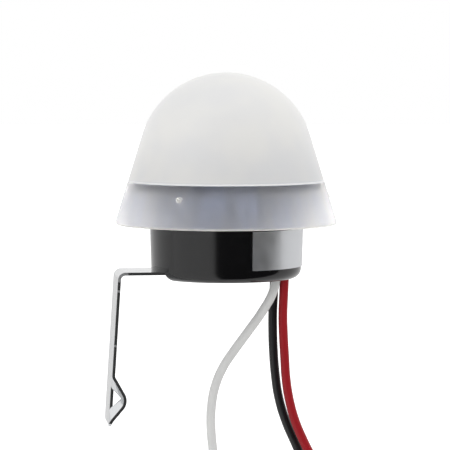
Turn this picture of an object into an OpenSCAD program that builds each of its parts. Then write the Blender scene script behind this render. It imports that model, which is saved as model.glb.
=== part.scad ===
// Photocell switch: a frosted dome over a black base, held by a bent spring-steel
// clip, with three leads hanging from the floor of the base.
// Body frame: the axis of the dome is Z and z = 0 is the plane of the dome's rim.
// The part's own origin is on the outer face of the clip's leg.

/* [Dome cover] */
// Outside diameter of the dome at its rim
dome_d = 60; // [58:0.5:64]
// Radius of the ball that forms the top of the dome
dome_ball_r = 23.8; // [23:0.1:24.5]
// Flare of the skirt from the vertical, in degrees
skirt_flare = 17.1; // [16:0.1:18.5]
// Wall of the dome moulding
dome_wall = 1.2; // [0.9:0.1:1.6]
// Height of the seating ledge above the rim
ledge_z = 11.7; // [11:0.1:12.5]
// Width of the seating ledge
ledge_w = 1.8; // [1.2:0.1:2.2]
// Thickness of the seating ledge
ledge_t = 0.9; // [0.6:0.1:1.4]
// Number of staked dimples that hold the base in the dome
stake_count = 3; // [2:1:6]
// Outside diameter of the raised rim of a dimple
stake_d = 1.5; // [1.2:0.1:2]
// Radius of the bump that a dimple makes inside the skirt
stake_bump_r = 1; // [0.8:0.1:1.2]
// Direction of the first dimple, in degrees from the lead side
stake_turn = -124; // [-180:1:180]

/* [Base housing] */
// Outside diameter of the base wall, level with the dome's rim
base_d = 41.4; // [41:0.2:43]
// Draft of the base wall, in degrees
base_draft = 1.7; // [0.5:0.1:2.5]
// Drop of the base below the dome's rim
base_drop = 14.6; // [14.3:0.1:17]
// Radius of the bottom edge of the base
base_edge_r = 2.7; // [2:0.1:3.5]
// Wall and floor of the base
base_wall = 1.8; // [1.4:0.1:2]
// Thickness of the flange at the mouth of the base
flange_t = 2.6; // [2.2:0.1:3]
// Width of the bracket recess across its ceiling
recess_w = 19.5; // [18:0.5:22]
// Slope of the recess's side walls from the vertical, in degrees
recess_slope = 4; // [1:1:20]
// Diameter of the screw bosses
boss_d = 6; // [5:0.1:6.4]

/* [Side label] */
// Height of the label
label_h = 10.3; // [8:0.1:10.5]
// Length of the label along the wall
label_l = 40; // [25:1:60]
// Gap from the dome's rim plane down to the label
label_top = 0.9; // [0.5:0.1:1.5]
// Direction of the label's front edge, in degrees from the lead side
label_turn = -78; // [-110:1:-40]
// Thickness of the label
label_t = 0.2; // [0.16:0.02:0.3]

/* [Mounting bracket] */
// Width of the strip
strip_w = 15; // [12:0.5:17]
// Thickness of the strip
strip_t = 0.8; // [0.6:0.05:1]
// Distance from the dome's axis to the leg's outer face at the bend
bracket_reach = 29.95; // [28:0.05:36]
// Reach of the strap past the dome's axis
strap_tail = 5; // [4:0.5:6.5]
// Height of the strap's top face above the bottom of the base
strap_rise = 2.25; // [2.2:0.05:2.8]
// Length of the leg below the strap's top face
leg_l = 41.3; // [36:0.1:50]
// Lean of the leg away from the base, in degrees
leg_lean = 3.66; // [0:0.02:6]
// Outer radius of the bend
bend_r = 2; // [1.6:0.1:3]
// Height of the V bump
bump_h = 3.5; // [2.5:0.1:4]
// Angle of the bump's upper flank to the leg, in degrees
rise_turn = 33; // [25:1:40]
// Angle of the bump's lower flank to the leg, in degrees
fall_turn = 37; // [30:1:45]
// Angle of the tip to the leg, in degrees
tip_turn = 26; // [18:1:28]
// Length of the slanting tip
tip_l = 1.7; // [1.4:0.1:3]
// Inner radius of the bends at the feet of the bump
foot_r = 1.1; // [0.6:0.1:1.4]
// Inner radius of the bend at the top of the bump
crest_r = 2.9; // [1:0.1:3]
// Width of the pushed-in edge, from the strip's side to the slit
edge_w = 2; // [1.5:0.1:4]
// Distance of the slit from the bump's upper foot
slit_start = 2.9; // [2:0.1:3.5]
// Length of the slit
slit_l = 6.8; // [6.2:0.1:7.4]
// Height of the bump at the slit
slit_h = 2.8; // [2:0.1:3.2]
// Inner radius of the bends along the slit
slit_bend_r = 0.4; // [0.3:0.1:0.6]
// Radius of the strip's corners
strip_corner_r = 1.2; // [0.6:0.1:2]
// Distance of the second bracket screw from the dome's axis
screw_pitch = 10; // [8:0.5:11]

/* [Leads] */
// Diameter of a lead
lead_d = 2.5; // [2:0.1:2.6]
// Distance of the lead seal's middle from the side of the base
lead_edge = 6.35; // [6.2:0.05:7.2]
// Distance of each lead from the middle of the seal
lead_ring = 1.7; // [1.6:0.05:1.9]
// Diameter of the bare wire at the end of a lead
core_d = 1.2; // [0.8:0.1:1.6]
// Length of the bare wire
core_l = 7; // [5:0.5:10]

/* [Circuit] */
// Thickness of the circuit board
board_t = 1.6; // [1.2:0.1:1.8]
// Relay: length, width and height
relay_size = [19, 15.5, 15.2];
// Film capacitor: length, width and height
film_size = [18, 5, 11];
// Diameter of the electrolytic capacitor
can_d = 6.3; // [5:0.1:6.5]
// Length of the electrolytic capacitor
can_l = 11; // [8:0.5:14]
// Diameter of the light sensor
sensor_d = 5.1; // [4:0.1:6]
// Thickness of the light sensor
sensor_t = 2; // [1.5:0.1:2.5]
// Height of the light sensor above the board
sensor_lift = 8.3; // [6:0.1:12]

/* [Hidden] */
$fn = 96;
// Clearance between the flange and the dome, and of pieces beside each other
fit = 0.3;
// Clearance of a shank, wire or label against what it sits in or on
slip = 0.05;
// Overshoot of cutters
over = 1;

// Dome: the cone is tangent to the ball at height tangent_z
rim_r = dome_d / 2;
wall_across = dome_wall / cos(skirt_flare);
rim_bead_r = wall_across / 2;
tangent_r = dome_ball_r * cos(skirt_flare);
tangent_z = rim_bead_r + (rim_r - tangent_r) / tan(skirt_flare);
ball_z = tangent_z - dome_ball_r * sin(skirt_flare);
inner_ball_r = dome_ball_r - dome_wall;
function skirt_r(z) = rim_r - (z - rim_bead_r) * tan(skirt_flare);
function skirt_inner_r(z) = skirt_r(z) - wall_across;

// Base
base_z = -base_drop;
floor_z = base_z + base_wall;
flange_z = ledge_z - flange_t;
function base_r(z) = base_d / 2 + z * tan(base_draft);

// Staked dimples, just under the flange
stake_z = flange_z - fit - stake_bump_r;
stake_depth = dome_wall / 2;
stake_lip = 0.25;

// Bracket recess, strap and screws
strap_z = base_z + strap_rise;
strap_under = strap_z - strip_t;
strap_room = 2;
recess_end = strap_tail + strap_room;
screw_shank_d = 2.9;
screw_head_d = 5.6;
screw_head_h = 1.3;
screw_l = 6.4;
boss_cap = 0.5;
boss_top = strap_under + screw_l + fit + boss_cap;

// Board in the rabbet of the flange
board_z = ledge_z - board_t;
board_r = base_r(ledge_z) + 0.5;
board_boss_r = base_r(floor_z) - base_wall - boss_d / 2 + 0.8;
board_boss_turns = [75, 180, 285];
board_screw_d = 2.4;
board_screw_l = 6;
board_head_d = 4.6;
board_head_h = 1.5;

// Leads: clockwise from the far side, seen from above
lead_out = base_d / 2 - lead_edge;
lead_turn = [120, 0, -120];
function lead_at(i) = [lead_out + lead_ring * cos(lead_turn[i]), lead_ring * sin(lead_turn[i])];
seal_r = lead_ring + lead_d / 2 + 0.4;
seal_flange_r = seal_r + 1;
seal_flange_t = 1;

// Places of the parts under the board
part_gap = 1;
boss_room = board_boss_r * sin(board_boss_turns[0]) - boss_d / 2 - fit;
relay_at = [boss_d / 2 + fit - board_boss_r, -boss_room];
film_at = [-film_size[0] * 2 / 3, boss_room - film_size[1]];
can_at = [
    relay_at[0] + relay_size[0] + fit + can_d / 2,
    lead_at(2)[1] - lead_d / 2 - fit - can_d / 2
];
transistor_r = 2.35;
transistor_at = [
    film_at[0] + film_size[0] + part_gap + transistor_r,
    film_at[1] + film_size[1] / 2
];
transistor_l = 4.6;
transistor_leg = 2;
pin_d = 0.6;

// Places of the parts on the board; of the axial ones also diameter, length and span of the legs
diode_size = [2.7, 5.2, 9];
zener_size = [2, 4, 8];
resistor_size = [2.5, 6.5, 10];
diode_x = [-8, -4, 0, 4];
diode_y = -8;
zener_at = [9, -6];
resistor_x = [-7.5, -3.5, 0.5];
resistor_y = 9.5;
sensor_at = [-4, 2.6];
sensor_leg_gap = 2.6;
sensor_leg_d = 0.5;
sleeve_d = 1.2;
solder_d = 1.9;

// Leg of the bracket: u runs down its outer face from the corner of the two outer faces
bend_turn = 90 - leg_lean;
bend_tangent = bend_r * tan(bend_turn / 2);
strap_run = bracket_reach + strap_tail - bend_tangent;
lap = 2 * strip_t;
bend_facets = 12;

// Bump of the leg: lengths of its flanks, and distances along the leg from its upper foot
foot_out = foot_r + strip_t;
cross_h = strip_t / 3;
rise_l = (bump_h - (foot_out + crest_r) * (1 - cos(rise_turn))) / sin(rise_turn);
fall_l = (bump_h - cross_h - crest_r * (1 - cos(fall_turn))
    - foot_out * (cos(tip_turn) - cos(fall_turn))) / sin(fall_turn);
crest_u = (foot_out + crest_r) * sin(rise_turn) + rise_l * cos(rise_turn);
tip_u = crest_u + crest_r * sin(fall_turn) + fall_l * cos(fall_turn)
    + foot_out * (sin(fall_turn) - sin(tip_turn));
bump_start = leg_l - tip_u - tip_l * cos(tip_turn);

// Bump along the slit, with two equal flanks
slit_v = strip_w / 2 - edge_w;
slit_bends = strip_t + 2 * slit_bend_r;
slit_flank = sqrt(pow(slit_l / 2, 2) + pow(slit_bends - slit_h, 2) - pow(slit_bends, 2));
slit_turn = atan2(slit_bends, slit_flank) - atan2(slit_bends - slit_h, slit_l / 2);

// The part's origin: halfway along the flat stretch of the leg
clip_face_u = (bend_tangent + bump_start) / 2;
part_origin = [
    -bracket_reach - clip_face_u * sin(leg_lean), 0, strap_z - clip_face_u * cos(leg_lean)
];

// Routes of the leads below the base, from the point where each leaves the seal
black_route = [
    [0, 0, 0], [-0.15, 0, -4], [-0.4, 0, -9], [-0.4, 0.2, -14.5], [-0.15, 0.5, -20.5],
    [0.4, 0.7, -27], [1.4, 0.8, -33.5], [3.35, 0.8, -40], [6.15, 0.8, -46.5], [8.8, 0.8, -52.5],
    [10.9, 0.8, -58.5], [12.3, 0.8, -64.5], [13, 0.8, -70.5], [13.3, 0.8, -76.5],
    [13.4, 0.8, -82.5], [13.4, 0.8, -88.5], [13.4, 0.8, -94.5], [13.4, 0.8, -100.5]
];
red_route = [
    [0, 0, 0], [-0.2, 0, -5], [-0.4, 0, -10.5], [-0.25, 0, -16], [0.1, 0, -22], [0.5, 0, -28],
    [1.45, 0, -34], [3.15, 0, -40], [5.5, 0, -45.5], [8.2, 0, -51], [10.5, 0, -57], [12.1, 0, -63],
    [13, 0, -69], [13.4, 0, -75], [13.5, 0, -81], [13.5, 0, -87], [13.5, 0, -93], [13.5, 0, -99]
];
white_route = [
    [0, 0, 0], [-0.9, -0.3, -4], [-3.75, -0.8, -9], [-7.85, -1.4, -14.5], [-11.65, -1.8, -19.5],
    [-14.85, -2, -24.2], [-16.95, -2, -29.2], [-17.95, -1.8, -34.8], [-18.05, -1.5, -40.5],
    [-17.5, -1.2, -46.5], [-16.6, -0.9, -52.5], [-15.6, -0.6, -58.5], [-14.8, -0.3, -64.5],
    [-14.2, -0.1, -70.5], [-13.8, 0, -76.5], [-13.6, 0, -82.5], [-13.6, 0, -88.5],
    [-13.6, 0, -94.5], [-13.6, 0, -100.5]
];
routes = [black_route, red_route, white_route];

// Moves a piece from the body frame to the part's own origin
module in_part() {
    translate(-part_origin) children();
}

// Half section of a ball top that runs into a cone, cut level at the bottom
module dome_section(ball_r, low_r, low_z) {
    touch_r = ball_r * cos(skirt_flare);
    touch_z = ball_z + ball_r * sin(skirt_flare);
    intersection() {
        translate([0, ball_z]) circle(ball_r);
        translate([0, touch_z]) square([ball_r, ball_r]);
    }
    polygon([[0, low_z], [low_r, low_z], [touch_r, touch_z], [0, touch_z]]);
}

// Places children on the skirt's outer face, with Z along its outward normal
module on_skirt(turn, z) {
    rotate([0, 0, turn]) translate([skirt_r(z), 0, z]) rotate([0, 90 - skirt_flare, 0]) children();
}

// Places children at each staked dimple
module at_stakes() {
    for (i = [0 : stake_count - 1])
        on_skirt(stake_turn + i * 360 / stake_count, stake_z) children();
}

module dome_cover() {
    ledge_in = skirt_inner_r(ledge_z) - ledge_w;
    ledge_top = ledge_z + ledge_t + ledge_w;
    color([0.9, 0.91, 0.92]) difference() {
        union() {
            rotate_extrude() {
                difference() {
                    dome_section(dome_ball_r, rim_r, rim_bead_r);
                    dome_section(inner_ball_r, skirt_inner_r(rim_bead_r), rim_bead_r);
                }
                translate([rim_r - rim_bead_r, rim_bead_r]) circle(rim_bead_r);
                polygon([
                    [ledge_in, ledge_z], [skirt_inner_r(ledge_z) + slip, ledge_z],
                    [skirt_inner_r(ledge_top) + slip, ledge_top], [ledge_in, ledge_z + ledge_t]
                ]);
            }
            at_stakes() {
                translate([0, 0, -dome_wall]) sphere(stake_bump_r);
                translate([0, 0, -stake_depth]) cylinder(d = stake_d, h = stake_depth + stake_lip);
            }
        }
        at_stakes() translate([0, 0, -stake_depth])
            cylinder(d1 = stake_d / 4, d2 = stake_d * 0.7, h = stake_depth + stake_lip + slip);
    }
}

// Half section of the base's outside or, with inset, of its inside
module base_section(inset, top_z) {
    arc_r = base_edge_r - min(inset, base_edge_r - 0.5);
    low_z = base_z + inset;
    wall_in = inset / cos(base_draft);
    arc_z = low_z + arc_r;
    arc_x = base_r(arc_z - arc_r * sin(base_draft)) - wall_in - arc_r * cos(base_draft);
    translate([arc_x, arc_z]) circle(arc_r);
    polygon([
        [0, low_z], [arc_x, low_z], [arc_x, arc_z],
        [arc_x + arc_r * cos(base_draft), arc_z - arc_r * sin(base_draft)],
        [base_r(top_z) - wall_in, top_z], [0, top_z]
    ]);
}

// Channel for the bracket's strap; grow is the wall kept around it
module recess(grow) {
    low_w = recess_w + 2 * (strap_rise + over) * tan(recess_slope);
    translate([-rim_r, 0, base_z - over]) rotate([90, 0, 90])
        linear_extrude(height = rim_r + recess_end + grow)
            polygon([
                [-low_w / 2 - grow, 0], [low_w / 2 + grow, 0],
                [recess_w / 2 + grow, strap_rise + over + grow],
                [-recess_w / 2 - grow, strap_rise + over + grow]
            ]);
}

// Places children at each bracket screw, at a height
module at_bracket_screws(z) {
    for (x = [0, -screw_pitch]) translate([x, 0, z]) children();
}

// Places children at each boss that carries the board, at a height
module at_board_bosses(z) {
    for (turn = board_boss_turns) rotate([0, 0, turn]) translate([board_boss_r, 0, z]) children();
}

module base_housing() {
    board_fit_r = board_r + fit;
    color([0.06, 0.06, 0.065]) difference() {
        union() {
            difference() {
                rotate_extrude() {
                    base_section(0, ledge_z);
                    polygon([
                        [0, flange_z], [skirt_inner_r(flange_z) - fit, flange_z],
                        [skirt_inner_r(ledge_z) - fit, ledge_z], [0, ledge_z]
                    ]);
                }
                difference() {
                    rotate_extrude() base_section(base_wall, ledge_z + over);
                    recess(base_wall);
                }
            }
            at_bracket_screws(strap_z) cylinder(d = boss_d, h = boss_top - strap_z);
            intersection() {
                at_board_bosses(base_z) cylinder(d = boss_d, h = board_z - base_z);
                rotate_extrude() base_section(base_wall / 2, ledge_z);
            }
        }
        recess(0);
        translate([0, 0, board_z]) cylinder(r = board_fit_r, h = board_t + over);
        at_bracket_screws(strap_z - over)
            cylinder(d = screw_shank_d + 2 * slip, h = strap_under + screw_l + fit - strap_z + over);
        at_board_bosses(board_z - board_screw_l)
            cylinder(d = board_screw_d + 2 * slip, h = board_screw_l + over);
        translate([lead_out, 0, base_z - over]) cylinder(r = seal_r + slip, h = base_wall + 2 * over);
    }
}

module side_label() {
    top_z = -label_top;
    low_z = top_z - label_h;
    span = label_l / base_r(low_z) * 180 / PI;
    color([0.72, 0.73, 0.75]) rotate([0, 0, label_turn]) rotate_extrude(angle = span)
        polygon([
            [base_r(low_z) + slip, low_z], [base_r(low_z) + slip + label_t, low_z],
            [base_r(top_z) + slip + label_t, top_z], [base_r(top_z) + slip, top_z]
        ]);
}

// Points along a bent strip, at a depth below its outer face, from a start and a heading.
// Each step is a straight length, a turn, inwards where it is positive, and its inner radius.
function inward(heading) = [-sin(heading), cos(heading)];
function strip_points(steps, depth, from, heading, i = 0) = i == len(steps) ? [] : let (
    turn = steps[i][1],
    pivot_y = turn > 0 ? strip_t + steps[i][2] : -steps[i][2],
    pivot = from - steps[i][0] * inward(heading + 90) + pivot_y * inward(heading)
) concat(
    i == 0 ? [from + depth * inward(heading)] : [],
    [
        for (k = [turn == 0 ? bend_facets : 0 : bend_facets])
            pivot + (depth - pivot_y) * inward(heading + turn * k / bend_facets)
    ],
    strip_points(steps, depth, pivot - pivot_y * inward(heading + turn), heading + turn, i + 1)
);

// Strap, bend and straight leg in the side view, in the frame of the leg
module strip_profile() {
    steps = [[strap_run, bend_turn, bend_r - strip_t], [leg_l - bend_tangent, 0, 0]];
    from = [bend_tangent, bend_r] - bend_r * inward(-bend_turn) + strap_run * inward(90 - bend_turn);
    inner = strip_points(steps, strip_t, from, -bend_turn);
    last = len(inner) - 1;
    polygon(concat(strip_points(steps, 0, from, -bend_turn), [for (i = [0 : last]) inner[last - i]]));
}

// Edge of the leg that is pushed in beside the slit, drawn between the strip's side and the slit
module pushed_edge() {
    side_steps = [
        [lap, rise_turn, foot_r], [rise_l, -rise_turn - fall_turn, crest_r],
        [fall_l, fall_turn - tip_turn, foot_r], [tip_l, 0, 0]
    ];
    slit_rest = leg_l - bump_start - slit_start - slit_l;
    slit_steps = [
        [lap + slit_start, slit_turn, slit_bend_r], [slit_flank, -2 * slit_turn, slit_bend_r],
        [slit_flank, slit_turn, slit_bend_r], [slit_rest, 0, 0]
    ];
    from = [bump_start - lap, 0];
    count = len(strip_points(side_steps, 0, from, 0));
    corners = [
        for (edge = [[side_steps, strip_w / 2], [slit_steps, slit_v]], depth = [0, strip_t])
            for (p = strip_points(edge[0], depth, from, 0)) [p[0], p[1], edge[1]]
    ];
    function quad(a, b, c, d) = [[a, b, c], [a, c, d]];
    sheets = [
        for (a = [0 : count - 2])
            let (b = a + count, c = b + count, d = c + count)
                each concat(
                    quad(a, a + 1, c + 1, c), quad(b, d, d + 1, b + 1),
                    quad(a, b, b + 1, a + 1), quad(c, c + 1, d + 1, d)
                )
    ];
    last = count - 1;
    ends = concat(
        quad(3 * count, count, 0, 2 * count),
        quad(2 * count + last, last, count + last, 3 * count + last)
    );
    polyhedron(corners, concat(sheets, ends));
}

// Places children, drawn in the side view of the leg, at the leg
module on_leg() {
    translate([-bracket_reach, 0, strap_z]) rotate([90, 0, 0]) rotate([0, 0, -90 - leg_lean]) children();
}

// Cutters that round both corners at an end of the strip
module corner_cuts() {
    r = strip_corner_r;
    linear_extrude(height = strip_t + 2 * over) for (side = [0, 1]) mirror([0, side])
        translate([-r, strip_w / 2 - r]) difference() {
            square(r + over);
            circle(r + slip);
        }
}

module mounting_bracket() {
    color([0.78, 0.79, 0.8]) difference() {
        union() {
            difference() {
                on_leg() linear_extrude(height = strip_w, center = true) strip_profile();
                on_leg() translate([bump_start, -over, slit_v])
                    cube([leg_l - bump_start + over, strip_t + 2 * over, edge_w + over]);
            }
            on_leg() pushed_edge();
        }
        on_leg() rotate([90, 0, 0]) translate([leg_l, 0, -strip_t - over]) corner_cuts();
        translate([strap_tail, 0, strap_under - over]) corner_cuts();
        at_bracket_screws(strap_under - over) cylinder(d = screw_shank_d + fit, h = strip_t + 2 * over);
    }
}

// Pan-head screw, head down, its seat at z = 0, with a cross recess
module pan_screw(head_d, head_h, shank_d, shank_l) {
    slot_w = head_d / 6;
    slot_l = head_d * 0.6;
    difference() {
        union() {
            rotate([180, 0, 0]) cylinder(d1 = head_d, d2 = head_d * 0.8, h = head_h);
            cylinder(d = shank_d, h = shank_l);
        }
        for (turn = [0, 90]) rotate([0, 0, turn])
            translate([-slot_l / 2, -slot_w / 2, -head_h - over]) cube([slot_l, slot_w, over + head_h / 2]);
    }
}

module bracket_screws() {
    color([0.7, 0.7, 0.72]) at_bracket_screws(strap_under)
        pan_screw(screw_head_d, screw_head_h, screw_shank_d, screw_l);
}

module board_screws() {
    color([0.7, 0.7, 0.72]) at_board_bosses(ledge_z) rotate([180, 0, 0])
        pan_screw(board_head_d, board_head_h, board_screw_d, board_screw_l + board_t - 2 * fit);
}

module lead_seal() {
    color([0.12, 0.12, 0.12]) difference() {
        union() {
            translate([lead_out, 0, base_z]) cylinder(r = seal_r, h = base_wall + seal_flange_t);
            difference() {
                intersection() {
                    translate([lead_out, 0, floor_z]) cylinder(r = seal_flange_r, h = seal_flange_t);
                    rotate_extrude() base_section(base_wall, ledge_z);
                }
                recess(base_wall + fit);
            }
        }
        for (i = [0 : 2]) translate([each lead_at(i), base_z - over])
            cylinder(d = lead_d + 2 * slip, h = base_wall + seal_flange_t + 2 * over);
    }
}

module circuit_board() {
    color([0.45, 0.3, 0.15]) difference() {
        translate([0, 0, board_z]) cylinder(r = board_r, h = board_t);
        at_board_bosses(board_z - over) cylinder(d = board_screw_d + fit, h = board_t + 2 * over);
    }
}

// Box that hangs from the underside of the board
module under_board(at, size) {
    translate([each at, board_z - size[2]]) cube(size);
}

module relay() {
    color([0.1, 0.25, 0.6]) under_board(relay_at, relay_size);
}

module film_capacitor() {
    color([0.8, 0.6, 0.1]) under_board(film_at, film_size);
}

module electrolytic_capacitor() {
    groove_r = 0.35;
    color([0.12, 0.13, 0.2]) translate([each can_at, board_z - can_l]) rotate_extrude() difference() {
        square([can_d / 2, can_l]);
        translate([can_d / 2, can_l - 1.5]) circle(groove_r);
    }
}

module transistor() {
    flat_at = transistor_r * 0.55;
    leg_gap = 1.27;
    color([0.1, 0.1, 0.1]) translate([each transistor_at, board_z]) {
        translate([0, 0, -transistor_leg - transistor_l]) intersection() {
            cylinder(r = transistor_r, h = transistor_l);
            translate([-flat_at, -transistor_r, 0])
                cube([2 * transistor_r, 2 * transistor_r, transistor_l]);
        }
        for (step = [-1 : 1]) translate([0, step * leg_gap, -transistor_leg])
            cylinder(d = pin_d, h = transistor_leg);
    }
}

// Axial part lying along Y on the board, on two legs
module axial_part(at, size) {
    body_d = size[0];
    body_l = size[1];
    span = size[2];
    translate([each at, ledge_z + body_d / 2]) {
        rotate([90, 0, 0]) cylinder(d = body_d, h = body_l, center = true);
        rotate([90, 0, 0]) cylinder(d = pin_d, h = span, center = true);
        for (side = [-1, 1]) translate([0, side * span / 2, -body_d / 2]) {
            cylinder(d = pin_d, h = body_d / 2);
            translate([0, 0, body_d / 2]) sphere(d = pin_d);
        }
    }
}

module rectifier_diodes() {
    color([0.08, 0.08, 0.08]) for (x = diode_x) axial_part([x, diode_y], diode_size);
}

module zener_diode() {
    color([0.7, 0.35, 0.2]) axial_part(zener_at, zener_size);
}

module resistors() {
    color([0.75, 0.65, 0.5]) for (x = resistor_x) axial_part([x, resistor_y], resistor_size);
}

module light_sensor() {
    flat_w = sensor_d * 0.84;
    color([0.8, 0.45, 0.25]) translate([each sensor_at, ledge_z + sensor_lift]) intersection() {
        cylinder(d = sensor_d, h = sensor_t);
        translate([-sensor_d, -flat_w / 2, 0]) cube([2 * sensor_d, flat_w, sensor_t]);
    }
}

// Places children at both legs of the light sensor, on the board
module at_sensor_legs() {
    for (side = [-1, 1])
        translate([sensor_at[0] + side * sensor_leg_gap / 2, sensor_at[1], ledge_z]) children();
}

module sensor_legs() {
    color([0.75, 0.75, 0.77]) at_sensor_legs() cylinder(d = sensor_leg_d, h = sensor_lift);
}

module sensor_sleeves() {
    color([0.9, 0.9, 0.88]) at_sensor_legs() difference() {
        cylinder(d = sleeve_d, h = sensor_lift - fit);
        translate([0, 0, -over]) cylinder(d = sensor_leg_d + 2 * slip, h = sensor_lift + 2 * over);
    }
}

module solder_joints() {
    inset = 1.5;
    relay_far = relay_at + [relay_size[0], relay_size[1]];
    film_y = film_at[1] + film_size[1] / 2;
    pads = [
        for (i = [0 : 2]) lead_at(i),
        relay_at + [inset, inset], [relay_at[0] + inset, relay_far[1] - inset], relay_far - [inset, inset],
        [film_at[0] + inset, film_y], [film_at[0] + film_size[0] - inset, film_y]
    ];
    color([0.75, 0.76, 0.78]) for (pad = pads) translate([each pad, ledge_z])
        cylinder(d1 = solder_d, d2 = solder_d / 3, h = solder_d / 2);
}

// Closed tube with flat ends along a list of points; the route never runs along Y
module tube(points, d, sides = 8) {
    last = len(points) - 1;
    function unit(v) = v / norm(v);
    function heading(i) = unit(points[min(i + 1, last)] - points[max(i - 1, 0)]);
    function across(i) = unit(cross(heading(i), [0, 1, 0]));
    function ring(i) = [
        for (k = [0 : sides - 1])
            points[i] + d / 2 * (cos(k * 360 / sides) * across(i)
                + sin(k * 360 / sides) * cross(heading(i), across(i)))
    ];
    corners = [for (i = [0 : last]) each ring(i)];
    sheets = [
        for (i = [0 : last - 1], k = [0 : sides - 1])
            let (a = i * sides + k, b = i * sides + (k + 1) % sides)
                each [[a, a + sides, b], [b, a + sides, b + sides]]
    ];
    ends = [
        [for (k = [0 : sides - 1]) k],
        [for (k = [sides - 1 : -1 : 0]) last * sides + k]
    ];
    polyhedron(corners, concat(sheets, ends));
}

// Whole course of a lead, from the underside of the board to its stripped end
function lead_points(i) = concat(
    [for (share = [0 : 0.25 : 0.75]) [each lead_at(i), board_z + share * (base_z - board_z)]],
    [for (p = routes[i]) p + [each lead_at(i), base_z]]
);

module lead(i) {
    tube(lead_points(i), lead_d);
}

module lead_core(i) {
    end = routes[i][len(routes[i]) - 1] + [each lead_at(i), base_z];
    color([0.75, 0.74, 0.72]) translate(end - [0, 0, core_l]) cylinder(d = core_d, h = core_l);
}

module black_lead() {
    color([0.08, 0.08, 0.08]) lead(0);
}

module red_lead() {
    color([0.6, 0.06, 0.09]) lead(1);
}

module white_lead() {
    color([0.88, 0.88, 0.87]) lead(2);
}

in_part() dome_cover();
in_part() base_housing();
in_part() side_label();
in_part() mounting_bracket();
in_part() bracket_screws();
in_part() lead_seal();
in_part() circuit_board();
in_part() board_screws();
in_part() relay();
in_part() film_capacitor();
in_part() electrolytic_capacitor();
in_part() transistor();
in_part() rectifier_diodes();
in_part() zener_diode();
in_part() resistors();
in_part() light_sensor();
in_part() sensor_legs();
in_part() sensor_sleeves();
in_part() solder_joints();
in_part() black_lead();
in_part() red_lead();
in_part() white_lead();
in_part() lead_core(0);  // black_lead_core
in_part() lead_core(1);  // red_lead_core
in_part() lead_core(2);  // white_lead_core
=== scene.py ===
"""Looks of the photocell switch: frosted dome, glossy black base, plated clip and three vinyl leads."""

import math

import bpy
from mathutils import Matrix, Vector


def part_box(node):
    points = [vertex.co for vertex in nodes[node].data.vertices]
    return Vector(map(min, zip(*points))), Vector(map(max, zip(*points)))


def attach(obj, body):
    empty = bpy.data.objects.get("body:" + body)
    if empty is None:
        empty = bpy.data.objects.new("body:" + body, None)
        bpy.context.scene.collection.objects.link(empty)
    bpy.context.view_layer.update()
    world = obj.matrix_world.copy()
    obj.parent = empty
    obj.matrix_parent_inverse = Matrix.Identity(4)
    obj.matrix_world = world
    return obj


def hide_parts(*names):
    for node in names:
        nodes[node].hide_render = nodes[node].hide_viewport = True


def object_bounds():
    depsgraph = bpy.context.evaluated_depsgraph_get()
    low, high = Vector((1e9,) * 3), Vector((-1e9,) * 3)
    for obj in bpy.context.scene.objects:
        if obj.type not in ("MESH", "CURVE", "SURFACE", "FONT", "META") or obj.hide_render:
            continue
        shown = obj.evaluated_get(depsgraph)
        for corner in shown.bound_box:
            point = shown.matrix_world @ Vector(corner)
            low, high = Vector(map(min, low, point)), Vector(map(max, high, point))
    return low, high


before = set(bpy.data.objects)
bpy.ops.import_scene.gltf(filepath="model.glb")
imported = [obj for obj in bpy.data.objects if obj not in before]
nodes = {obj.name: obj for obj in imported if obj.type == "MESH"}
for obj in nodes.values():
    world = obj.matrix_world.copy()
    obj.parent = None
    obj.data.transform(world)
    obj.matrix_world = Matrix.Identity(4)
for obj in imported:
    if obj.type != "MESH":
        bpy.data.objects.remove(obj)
cad_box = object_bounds()
MM = 0.001

# Body frame: the dome's axis, and the plane of its rim as height zero
dome_low, dome_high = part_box("dome_cover")
AXIS_X = (dome_low.x + dome_high.x) / 2
RIM_Z = dome_low.z


def body_point(x, y, z):
    """Point in the row frame, from millimetres off the dome's axis and above its rim."""
    return Vector((AXIS_X + x * MM, y * MM, RIM_Z + z * MM))


# Camera, from the photograph's framing
CAMERA_AZIMUTH = math.radians(-7.7)
CAMERA_ELEVATION = math.radians(3.8)
CAMERA_DISTANCE = 0.6
CLIP_END = 20
FRAME_WIDTH = 0.1221
SENSOR_MM = 36
AIM_RIGHT_MM = -0.3
AIM_Z_MM = -0.34
TOWARDS_CAMERA = Vector((math.sin(CAMERA_AZIMUTH), -math.cos(CAMERA_AZIMUTH), 0))
RIGHT_OF_CAMERA = Vector((math.cos(CAMERA_AZIMUTH), math.sin(CAMERA_AZIMUTH), 0))


def add_camera():
    aim = body_point(0, 0, AIM_Z_MM) + RIGHT_OF_CAMERA * AIM_RIGHT_MM * MM
    back = TOWARDS_CAMERA * math.cos(CAMERA_ELEVATION) + Vector((0, 0, math.sin(CAMERA_ELEVATION)))
    data = bpy.data.cameras.new("camera")
    data.sensor_width = SENSOR_MM
    data.lens = SENSOR_MM * CAMERA_DISTANCE / FRAME_WIDTH
    data.clip_end = CLIP_END
    camera = bpy.data.objects.new("camera", data)
    camera.location = aim + back * CAMERA_DISTANCE
    camera.rotation_euler = back.to_track_quat("Z", "Y").to_euler()
    bpy.context.collection.objects.link(camera)
    bpy.context.scene.camera = camera


# Node-tree helpers
def grey(value):
    return (value, value, value, 1)


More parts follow.
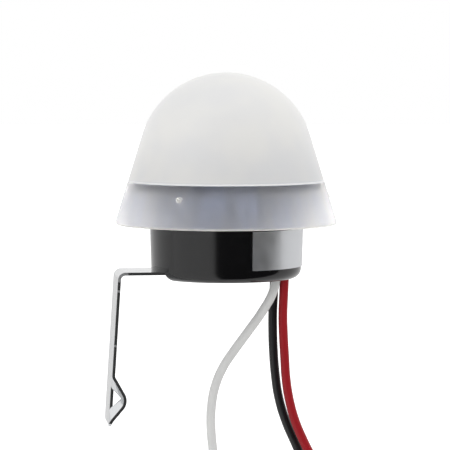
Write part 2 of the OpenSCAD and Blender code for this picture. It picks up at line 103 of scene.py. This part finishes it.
class Tree:
    """Thin wrapper that adds nodes to a shader tree and links sockets."""

    def __init__(self, tree):
        self.tree = tree
        tree.nodes.clear()

    def add(self, kind, **settings):
        node = self.tree.nodes.new(kind)
        for name, value in settings.items():
            setattr(node, name, value)
        return node

    def link(self, source, target):
        self.tree.links.new(source, target)

    def put(self, value, socket):
        if isinstance(value, bpy.types.NodeSocket):
            self.link(value, socket)
        else:
            socket.default_value = value

    def math(self, operation, *values):
        node = self.add("ShaderNodeMath", operation=operation)
        for value, socket in zip(values, node.inputs):
            self.put(value, socket)
        return node.outputs[0]

    def largest(self, first, *others):
        for other in others:
            first = self.math("MAXIMUM", first, other)
        return first

    def curve(self, value, stops):
        """Radians over a value from 0 to 1, from stops of (value, degrees up to 180)."""
        node = self.add("ShaderNodeValToRGB")
        while len(node.color_ramp.elements) < len(stops):
            node.color_ramp.elements.new(1)
        for element, (place, degrees) in zip(node.color_ramp.elements, stops):
            element.position = place
            element.color = grey(degrees / 180)
        self.put(value, node.inputs[0])
        return self.math("MULTIPLY", node.outputs[0], math.pi)

    def ramp(self, value, low, high, out_low=0.0, out_high=1.0):
        node = self.add("ShaderNodeMapRange", interpolation_type="SMOOTHSTEP")
        for socket, number in zip(node.inputs, (value, low, high, out_low, out_high)):
            self.put(number, socket)
        return node.outputs[0]

    def fade(self, value, limits_mm):
        """One below the first limit, falling to nothing at the second."""
        return self.ramp(value, limits_mm[0] * MM, limits_mm[1] * MM, 1, 0)

    def mix(self, factor, a, b):
        node = self.add("ShaderNodeMix", data_type="RGBA")
        for socket, number in zip((node.inputs[0], node.inputs[6], node.inputs[7]), (factor, a, b)):
            self.put(number, socket)
        return node.outputs[2]

    def mix_shaders(self, factor, a, b):
        node = self.add("ShaderNodeMixShader")
        self.put(factor, node.inputs[0])
        self.link(a.outputs[0], node.inputs[1])
        self.link(b.outputs[0], node.inputs[2])
        return node

    def place(self):
        return self.add("ShaderNodeTexCoord").outputs["Object"]

    def parts(self, vector):
        """Outputs X, Y and Z of a vector."""
        node = self.add("ShaderNodeSeparateXYZ")
        self.link(vector, node.inputs[0])
        return node.outputs

    def noise(self, scale, detail=2.0, stretch=None):
        node = self.add("ShaderNodeTexNoise")
        node.inputs["Scale"].default_value = scale
        node.inputs["Detail"].default_value = detail
        place = self.place()
        if stretch:
            mapping = self.add("ShaderNodeMapping")
            mapping.inputs["Scale"].default_value = stretch
            self.link(place, mapping.inputs["Vector"])
            place = mapping.outputs[0]
        self.link(place, node.inputs["Vector"])
        return node.outputs[0]

    def distance(self, point):
        node = self.add("ShaderNodeVectorMath", operation="DISTANCE")
        self.link(self.place(), node.inputs[0])
        node.inputs[1].default_value = point
        return node.outputs["Value"]

    def bump(self, height, depth_mm, under=None):
        """Normal of a height, on top of another normal if there is one."""
        node = self.add("ShaderNodeBump")
        node.inputs["Distance"].default_value = depth_mm * MM
        node.inputs["Strength"].default_value = 1.0
        self.link(height, node.inputs["Height"])
        if under is not None:
            self.link(under, node.inputs["Normal"])
        return node.outputs[0]


def new_material(name):
    material = bpy.data.materials.new(name)
    material.use_nodes = True
    tree = Tree(material.node_tree)
    shader = tree.add("ShaderNodeBsdfPrincipled")
    tree.output = tree.add("ShaderNodeOutputMaterial")
    tree.link(shader.outputs[0], tree.output.inputs[0])
    return material, tree, shader


def set_inputs(shader, **values):
    for name, value in values.items():
        shader.inputs[name.replace("_", " ")].default_value = value


# Range that most of a noise lies in
NOISE_LOW = 0.3
NOISE_HIGH = 0.7


def mottled(tree, shader, colour, spread, scale, rough, rough_spread):
    """Colour and roughness that drift a little over the surface; gives the roughness."""
    drift = tree.noise(scale)
    dark = tuple(c * (1 - spread) for c in colour) + (1,)
    light = tuple(min(1, c * (1 + spread)) for c in colour) + (1,)
    tree.link(tree.mix(drift, dark, light), shader.inputs["Base Color"])
    roughness = tree.ramp(drift, NOISE_LOW, NOISE_HIGH, rough - rough_spread, rough + rough_spread)
    tree.link(roughness, shader.inputs["Roughness"])
    return roughness


PLASTIC_DRIFT_SCALE = 120
PLASTIC_ROUGH_SPREAD = 0.25


def moulded(name, colour, rough, spread=0.06, grain_mm=0.004, grain_scale=2500, shine=0.5):
    """Moulded or extruded plastic with a faint skin texture."""
    material, tree, shader = new_material(name)
    set_inputs(shader, Specular_IOR_Level=shine)
    mottled(tree, shader, colour, spread, PLASTIC_DRIFT_SCALE, rough, rough * PLASTIC_ROUGH_SPREAD)
    tree.link(tree.bump(tree.noise(grain_scale), grain_mm), shader.inputs["Normal"])
    return material


METAL_SPREAD = 0.05
METAL_DRIFT_SCALE = 300
METAL_ROUGH_SPREAD = 0.3
METAL_EDGE_TINT = grey(0.8)
METAL_GRAIN_SCALE = 900
METAL_GRAIN_MM = 0.002
FINE_DETAIL = 3


def metal_grain(tree):
    return tree.bump(tree.noise(METAL_GRAIN_SCALE, FINE_DETAIL), METAL_GRAIN_MM)


def metal(name, colour, rough):
    material, tree, shader = new_material(name)
    mottled(tree, shader, colour, METAL_SPREAD, METAL_DRIFT_SCALE, rough, rough * METAL_ROUGH_SPREAD)
    set_inputs(shader, Metallic=1.0, Specular_Tint=METAL_EDGE_TINT)
    tree.link(metal_grain(tree), shader.inputs["Normal"])
    return material


# Surroundings: a white light tent, open towards the camera
TENT = 1.1
OPENING = 0.05
# Half-angles of the opening at the camera's left and right, over the height of the direction
LEFT_EDGE = [(0, 16), (0.43, 16), (0.75, 40), (0.915, 27), (0.957, 13), (0.97, 0)]
RIGHT_EDGE = [(0, 105), (0.43, 105), (0.75, 40), (0.915, 27), (0.957, 13), (0.97, 0)]
EDGE_BLUR = math.radians(3)
WHITE = grey(1.0)


def add_world():
    """The tent, which the camera itself sees as plain white."""
    world = bpy.data.worlds.new("tent")
    world.use_nodes = True
    bpy.context.scene.world = world
    tree = Tree(world.node_tree)
    direction = tree.add("ShaderNodeTexCoord").outputs["Generated"]

    def along(vector):
        dot = tree.add("ShaderNodeVectorMath", operation="DOT_PRODUCT")
        tree.link(direction, dot.inputs[0])
        dot.inputs[1].default_value = vector
        return dot.outputs["Value"]

    up = along((0, 0, 1))
    azimuth = tree.math("ARCTAN2", along(RIGHT_OF_CAMERA), along(TOWARDS_CAMERA))
    height = tree.math("MULTIPLY_ADD", up, 0.5, 0.5)
    off_left = tree.math("ADD", azimuth, tree.curve(height, LEFT_EDGE))
    off_right = tree.math("SUBTRACT", azimuth, tree.curve(height, RIGHT_EDGE))
    past_left = tree.ramp(off_left, -EDGE_BLUR, EDGE_BLUR)
    short_of_right = tree.ramp(off_right, -EDGE_BLUR, EDGE_BLUR, 1, 0)
    opening = tree.math("MULTIPLY", past_left, short_of_right)
    tent = tree.ramp(opening, 0, 1, TENT, OPENING)
    camera_ray = tree.add("ShaderNodeLightPath").outputs["Is Camera Ray"]
    background = tree.add("ShaderNodeBackground")
    tree.link(tree.mix(camera_ray, tent, WHITE), background.inputs["Color"])
    tree.link(background.outputs[0], tree.add("ShaderNodeOutputWorld").inputs[0])


# Key lamp, one metre from the dome's rim
KEY_WATTS = 5.25
KEY_SIZE = 0.8
KEY_RIGHT = 0.42
KEY_UP = 0.15
KEY_FROM = TOWARDS_CAMERA + KEY_RIGHT * RIGHT_OF_CAMERA + Vector((0, 0, KEY_UP))


def add_key():
    """Soft lamp in the tent's opening, for matt surfaces that face the camera."""
    data = bpy.data.lights.new("key", "AREA")
    data.energy = KEY_WATTS
    data.size = KEY_SIZE
    key = bpy.data.objects.new("key", data)
    key.location = body_point(0, 0, 0) + KEY_FROM.normalized()
    key.rotation_euler = KEY_FROM.to_track_quat("Z", "Y").to_euler()
    key.visible_glossy = False
    bpy.context.collection.objects.link(key)


# Floor: its gap below the part, its size, and how far it reaches in front of the dome's axis
FLOOR_GAP = 0.02
FLOOR_SIZE = 8
FLOOR_FRONT = 0.06
FLOOR_GREY = 0.85
FLOOR_ROUGH = 0.9
# Glow of the floor to the camera and in mirror-like surfaces
GLOW_DIRECT = 0.6
GLOW_MIRRORED = 0.1
# Glow of the floor as seen through the skirt, at the camera's left and right, and how far out each begins
SEEN_LEFT = 1.0
SEEN_RIGHT = 0.3
SEEN_REACH = 0.1


def add_floor():
    """Pale floor under and behind the object, white to the camera where nothing shades it."""
    middle = body_point(0, 0, 0) - TOWARDS_CAMERA * (FLOOR_SIZE / 2 - FLOOR_FRONT)
    floor_z = cad_box[0].z - FLOOR_GAP
    bpy.ops.mesh.primitive_plane_add(
        size=FLOOR_SIZE, location=(middle.x, middle.y, floor_z), rotation=(0, 0, CAMERA_AZIMUTH)
    )
    floor = bpy.context.object
    floor.name = "floor"
    material, tree, shader = new_material("floor_white")
    set_inputs(shader, Base_Color=grey(FLOOR_GREY), Roughness=FLOOR_ROUGH, Emission_Color=WHITE)
    rays = tree.add("ShaderNodeLightPath")
    direct = tree.math("MULTIPLY", rays.outputs["Is Camera Ray"], GLOW_DIRECT)
    mirrored = tree.math("MULTIPLY", rays.outputs["Is Glossy Ray"], GLOW_MIRRORED)
    shine = tree.ramp(tree.parts(tree.place())["X"], -SEEN_REACH, SEEN_REACH, SEEN_LEFT, SEEN_RIGHT)
    seen_through = tree.math("MULTIPLY", rays.outputs["Is Transmission Ray"], shine)
    tree.link(tree.largest(direct, mirrored, seen_through), shader.inputs["Emission Strength"])
    floor.data.materials.append(material)


# Leads: their thickness, the ring of holes they leave by, and the heights where they start and leave
LEAD_D = 2.5
LEAD_OUT = 14.35
LEAD_RING = 1.7
BOARD_Z = 10.1
BASE_Z = -14.6
INNER_STEPS = 4
BEVEL_STEPS = 6
CURVE_STEPS = 8
# Routes of the leads below the base, in millimetres from where each leaves the seal
BLACK_ROUTE = [
    (0, 0, 0), (-0.15, 0, -4), (-0.4, 0, -9), (-0.4, 0.2, -14.5), (-0.15, 0.5, -20.5),
    (0.4, 0.7, -27), (1.4, 0.8, -33.5), (3.35, 0.8, -40), (6.15, 0.8, -46.5), (8.8, 0.8, -52.5),
    (10.9, 0.8, -58.5), (12.3, 0.8, -64.5), (13, 0.8, -70.5), (13.3, 0.8, -76.5),
    (13.4, 0.8, -82.5), (13.4, 0.8, -88.5), (13.4, 0.8, -94.5), (13.4, 0.8, -100.5),
]
RED_ROUTE = [
    (0, 0, 0), (-0.2, 0, -5), (-0.4, 0, -10.5), (-0.25, 0, -16), (0.1, 0, -22), (0.5, 0, -28),
    (1.45, 0, -34), (3.15, 0, -40), (5.5, 0, -45.5), (8.2, 0, -51), (10.5, 0, -57), (12.1, 0, -63),
    (13, 0, -69), (13.4, 0, -75), (13.5, 0, -81), (13.5, 0, -87), (13.5, 0, -93), (13.5, 0, -99),
]
WHITE_ROUTE = [
    (0, 0, 0), (-0.9, -0.3, -4), (-3.75, -0.8, -9), (-7.85, -1.4, -14.5), (-11.65, -1.8, -19.5),
    (-14.85, -2, -24.2), (-16.95, -2, -29.2), (-17.95, -1.8, -34.8), (-18.05, -1.5, -40.5),
    (-17.5, -1.2, -46.5), (-16.6, -0.9, -52.5), (-15.6, -0.6, -58.5), (-14.8, -0.3, -64.5),
    (-14.2, -0.1, -70.5), (-13.8, 0, -76.5), (-13.6, 0, -82.5), (-13.6, 0, -88.5),
    (-13.6, 0, -94.5), (-13.6, 0, -100.5),
]
# Each lead's turn about the seal's middle, and its route
LEADS = {"black_lead": (120, BLACK_ROUTE), "red_lead": (0, RED_ROUTE), "white_lead": (-120, WHITE_ROUTE)}


def lead_points(turn, route):
    """Course of a lead from the underside of the board to its stripped end."""
    x = LEAD_OUT + LEAD_RING * math.cos(math.radians(turn))
    y = LEAD_RING * math.sin(math.radians(turn))
    inner_z = [BOARD_Z + i / INNER_STEPS * (BASE_Z - BOARD_Z) for i in range(INNER_STEPS)]
    inner = [body_point(x, y, z) for z in inner_z]
    return inner + [body_point(x + dx, y + dy, BASE_Z + dz) for dx, dy, dz in route]


def add_lead(name, material):
    turn, route = LEADS[name]
    points = lead_points(turn, route)
    data = bpy.data.curves.new(name + "_cord", "CURVE")
    data.dimensions = "3D"
    data.bevel_depth = LEAD_D / 2 * MM
    data.bevel_resolution = BEVEL_STEPS
    data.resolution_u = CURVE_STEPS
    data.use_fill_caps = True
    spline = data.splines.new("BEZIER")
    spline.bezier_points.add(len(points) - 1)
    for knot, point in zip(spline.bezier_points, points):
        knot.co = point
        knot.handle_left_type = "AUTO"
        knot.handle_right_type = "AUTO"
    data.materials.append(material)
    lead = bpy.data.objects.new(name + "_cord", data)
    bpy.context.collection.objects.link(lead)
    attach(lead, "root")
    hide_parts(name)


# Dome: height of the seating ledge, where the see-through skirt ends and the milky top begins
LEDGE_Z = 11.7
# Shares of light that the plastic throws back, and the share of the rest that it scatters
SKIRT_SKIN = 0.12
# The rim's share is a painted highlight: a white line along the bottom edge
RIM_HIGHLIGHT_SKIN = 0.2
DOME_SKIN = 0.9
STAKE_SKIN = 0.45
SKIRT_SCATTER = 0.25
# Staked dimples, whitened by the punch: radius, height and turns about the axis, and their soft edge
STAKE_R = 27.8
STAKE_Z = 7.8
STAKE_TURNS = (-124, -4, 116)
STAKE_EDGE_MM = (0.8, 1.1)
# Milk: how fast it sets in above the ledge, the height over which it thickens, and its colours
MILK_EDGE_MM = 0.4
MILK_MM = 15
THIN_MILK = ((0.75, 0.755, 0.765, 1), (0.8, 0.795, 0.78, 1))
THICK_MILK = ((0.865, 0.865, 0.865, 1), (0.905, 0.9, 0.88, 1))
MILK_SHINE = 0.2
MILK_ROUGH = (0.3, 0.38)
DRIFT_SCALE = 60
PATCHES = (0.35, 0.65)
# Painted highlight lines in white, at the ledge and along the rim, and the step at the ledge; the
# dimples' whitening uses the same white
SEAM_HIGHLIGHT_MM = (0.15, 0.35)
RIM_HIGHLIGHT_MM = (0.3 - LEDGE_Z, 0.7 - LEDGE_Z)
HIGHLIGHT_AND_STAKE_WHITE = grey(0.98)
STEP_EDGE_MM = (-0.35, 0.35)
STEP_MM = 0.3
DOME_GRAIN_SCALE = 700
DOME_GRAIN_MM = 0.002
# Skirt: upright streaks of bluish haze over a warm see-through wall; the haze is cut back just under the
# ledge as painted shade, darkening the band there
STREAK_SCALE = 180
STREAK_STRETCH = (1, 1, 0.1)
STREAK_SPREAD = 0.4
HAZE = ((0.5, 0.61, 0.98, 1), (0.63, 0.71, 1, 1))
LEDGE_SHADE_MM = (-4.5, -1)
SHADED_HAZE_AT_LEDGE = 0.5
TINT = ((0.995, 0.97, 0.915, 1), (1, 0.98, 0.93, 1))
SCATTER_TINT = ((0.98, 0.965, 0.94, 1), (0.99, 0.975, 0.95, 1))


def frosted_dome():
    """Plastic that is milky above the seating ledge and lets blurred light through below it, with painted
    highlight lines at the ledge and along the rim.
    """
    material, tree, skin = new_material("frosted_plastic")
    drift = tree.noise(DRIFT_SCALE)
    streaks = tree.noise(STREAK_SCALE, stretch=STREAK_STRETCH)
    rise = tree.math("SUBTRACT", tree.parts(tree.place())["Z"], RIM_Z + LEDGE_Z * MM)

    # Where the milk, the painted highlight lines at the ledge and rim, and the dimples are
    milky = tree.ramp(rise, 0, MILK_EDGE_MM * MM)
    seam_highlight = tree.fade(tree.math("ABSOLUTE", rise), SEAM_HIGHLIGHT_MM)
    rim = tree.fade(rise, RIM_HIGHLIGHT_MM)
    turns = [math.radians(turn) for turn in STAKE_TURNS]
    stakes = [body_point(STAKE_R * math.cos(turn), STAKE_R * math.sin(turn), STAKE_Z) for turn in turns]
    near = [tree.distance(stake) for stake in stakes]
    nearest = tree.math("MINIMUM", near[0], tree.math("MINIMUM", near[1], near[2]))
    staked = tree.fade(nearest, STAKE_EDGE_MM)

    # Light thrown back by the skin
    patches = tree.ramp(drift, *PATCHES)
    thickness = tree.ramp(rise, 0, MILK_MM * MM)
    milk = tree.mix(thickness, tree.mix(patches, *THIN_MILK), tree.mix(patches, *THICK_MILK))
    colour = tree.mix(milky, tree.mix(streaks, *HAZE), milk)
    # Painted highlight: white on the ledge and rim lines, and the same white on the whitened dimples
    colour = tree.mix(tree.largest(rim, seam_highlight, staked), colour, HIGHLIGHT_AND_STAKE_WHITE)
    tree.link(colour, skin.inputs["Base Color"])
    tree.link(tree.ramp(drift, NOISE_LOW, NOISE_HIGH, *MILK_ROUGH), skin.inputs["Roughness"])
    set_inputs(skin, Specular_IOR_Level=MILK_SHINE)
    grain = tree.bump(tree.noise(DOME_GRAIN_SCALE, FINE_DETAIL), DOME_GRAIN_MM)
    step = tree.bump(tree.fade(rise, STEP_EDGE_MM), STEP_MM, under=grain)
    tree.link(step, skin.inputs["Normal"])

    # Light let through, blurred or scattered, under a smooth outer face
    scattered = tree.add("ShaderNodeBsdfTranslucent")
    tree.link(tree.mix(drift, *SCATTER_TINT), scattered.inputs["Color"])
    tree.link(grain, scattered.inputs["Normal"])
    blurred = tree.add("ShaderNodeBsdfPrincipled")
    set_inputs(blurred, Transmission_Weight=1.0, IOR=1.25, Roughness=1.0)
    set_inputs(blurred, Coat_Weight=1.0, Coat_Roughness=0.06, Coat_IOR=1.6)
    tree.link(tree.mix(drift, *TINT), blurred.inputs["Base Color"])
    through = tree.mix_shaders(SKIRT_SCATTER, blurred, scattered)

    # Share of the skin
    least = SKIRT_SKIN * (1 - STREAK_SPREAD)
    most = SKIRT_SKIN * (1 + STREAK_SPREAD)
    hazy = tree.ramp(streaks, NOISE_LOW, NOISE_HIGH, least, most)
    # Painted shade: less haze just under the ledge, so the band there darkens
    shade_from, shade_to = LEDGE_SHADE_MM
    hazy = tree.math("MULTIPLY", hazy, tree.ramp(rise, shade_from * MM, shade_to * MM, 1, SHADED_HAZE_AT_LEDGE))
    share = tree.ramp(tree.largest(seam_highlight, milky), 0, 1, hazy, DOME_SKIN)
    # Painted highlight lines: the rim and the ledge take a larger share of the white skin
    rim_highlight_share = tree.math("MULTIPLY", rim, RIM_HIGHLIGHT_SKIN)
    stake_share = tree.math("MULTIPLY", staked, STAKE_SKIN)
    share = tree.largest(share, rim_highlight_share, stake_share)
    tree.link(tree.mix_shaders(share, through, skin).outputs[0], tree.output.inputs[0])
    return material


# Clip: colour and roughness of its plating
PLATING = (0.68, 0.69, 0.7)
PLATING_ROUGH = 0.14
PLATING_ROUGH_SPREAD = 0.04
# Light marks on its cut edge: the burnished bend, as x and z of its middle, and the heights of two nicks
BEND = (-29.4, -12.8)
BEND_EDGE_MM = (1.6, 2.6)
NICKS_Z = (-17.35, -32.0)
NICK_EDGE_MM = (0.15, 0.4)
WORN_ROUGH = 0.7
# How squarely a face looks along y to count as the cut edge, and the marks of shearing on it
CUT_FACING = (0.7, 0.9)
SHEAR_SCALE = 2200
SHEAR_STRETCH = (0.3, 1, 1)
SHEAR_MM = 0.04


def plated_strip():
    """Bright plating, worn light on the cut edge at the bend and at two nicks."""
    material, tree, shader = new_material("plated_steel")
    plating_rough = mottled(
        tree, shader, PLATING, METAL_SPREAD, METAL_DRIFT_SCALE, PLATING_ROUGH, PLATING_ROUGH_SPREAD
    )
    set_inputs(shader, Metallic=1.0, Specular_Tint=METAL_EDGE_TINT)
    facing = tree.parts(tree.add("ShaderNodeNewGeometry").outputs["True Normal"])
    cut_edge = tree.ramp(tree.math("ABSOLUTE", facing["Y"]), *CUT_FACING)
    place = tree.parts(tree.place())
    bend = body_point(BEND[0], 0, BEND[1])
    across = tree.math("SUBTRACT", place["X"], bend.x)
    along = tree.math("SUBTRACT", place["Z"], bend.z)
    squares = [tree.math("POWER", side, 2) for side in (across, along)]
    worn = tree.fade(tree.math("SQRT", tree.math("ADD", *squares)), BEND_EDGE_MM)
    for z in NICKS_Z:
        off_nick = tree.math("ABSOLUTE", tree.math("SUBTRACT", place["Z"], RIM_Z + z * MM))
        worn = tree.largest(worn, tree.fade(off_nick, NICK_EDGE_MM))
    worn = tree.math("MULTIPLY", worn, cut_edge)
    tree.link(tree.ramp(worn, 0, 1, plating_rough, WORN_ROUGH), shader.inputs["Roughness"])
    shear = tree.math("MULTIPLY", tree.noise(SHEAR_SCALE, stretch=SHEAR_STRETCH), cut_edge)
    tree.link(tree.bump(shear, SHEAR_MM, under=metal_grain(tree)), shader.inputs["Normal"])
    return material


# Label: silver foil, left bare
FOIL = (0.6, 0.61, 0.63)
FOIL_SPREAD = 0.04
FOIL_SCALE = 400
FOIL_ROUGH = 0.35
FOIL_ROUGH_SPREAD = 0.05
FOIL_METALLIC = 0.85
FOIL_GRAIN_MM = 0.006


def label_foil():
    material, tree, shader = new_material("label_foil")
    mottled(tree, shader, FOIL, FOIL_SPREAD, FOIL_SCALE, FOIL_ROUGH, FOIL_ROUGH_SPREAD)
    set_inputs(shader, Metallic=FOIL_METALLIC)
    tree.link(tree.bump(tree.noise(FOIL_SCALE, FINE_DETAIL), FOIL_GRAIN_MM), shader.inputs["Normal"])
    return material


# Plain plastics of the seal and the electronics: colour, roughness and nodes
PLASTICS = {
    "seal_rubber": ((0.03, 0.03, 0.03), 0.7, ["lead_seal"]),
    "board_laminate": ((0.38, 0.24, 0.11), 0.6, ["circuit_board"]),
    "relay_blue": ((0.05, 0.12, 0.4), 0.35, ["relay"]),
    "film_yellow": ((0.7, 0.48, 0.06), 0.3, ["film_capacitor"]),
    "can_sleeve": ((0.04, 0.04, 0.08), 0.3, ["electrolytic_capacitor"]),
    "black_epoxy": ((0.03, 0.03, 0.03), 0.6, ["transistor", "rectifier_diodes"]),
    "zener_glass": ((0.6, 0.25, 0.12), 0.15, ["zener_diode"]),
    "resistor_coat": ((0.6, 0.48, 0.32), 0.4, ["resistors"]),
    "sensor_ceramic": ((0.66, 0.3, 0.16), 0.4, ["light_sensor"]),
    "white_sleeve": ((0.85, 0.85, 0.82), 0.5, ["sensor_sleeves"]),
}
# Metals of the screws and wires: colour, roughness and nodes
METALS = {
    "screw_steel": ((0.66, 0.66, 0.67), 0.4, ["bracket_screws", "board_screws"]),
    "tinned_wire": (
        (0.7, 0.69, 0.67), 0.4,
        ["sensor_legs", "solder_joints", "black_lead_core", "red_lead_core", "white_lead_core"],
    ),
}


def dress(material, names):
    """Gives CAD nodes a finish."""
    for name in names:
        data = nodes[name].data
        data.materials.clear()
        data.materials.append(material)


def dress_parts():
    black_plastic = moulded(
        "black_plastic", (0.003, 0.003, 0.0035), 0.14, spread=0.1, grain_mm=0.0015, grain_scale=600
    )
    dress(frosted_dome(), ["dome_cover"])
    dress(black_plastic, ["base_housing"])
    dress(label_foil(), ["side_label"])
    dress(plated_strip(), ["mounting_bracket"])
    for name, (colour, rough, names) in PLASTICS.items():
        dress(moulded(name, colour, rough), names)
    for name, (colour, rough, names) in METALS.items():
        dress(metal(name, colour, rough), names)


add_camera()
add_world()
add_key()
add_floor()
dress_parts()
add_lead("black_lead", moulded("black_insulation", (0.01, 0.01, 0.011), 0.4, shine=0.4))
add_lead("red_lead", moulded("red_insulation", (0.33, 0.012, 0.018), 0.4, shine=0.2))
add_lead("white_lead", moulded("white_insulation", (0.74, 0.74, 0.73), 0.4))
bpy.context.scene.view_settings.view_transform = "Standard"
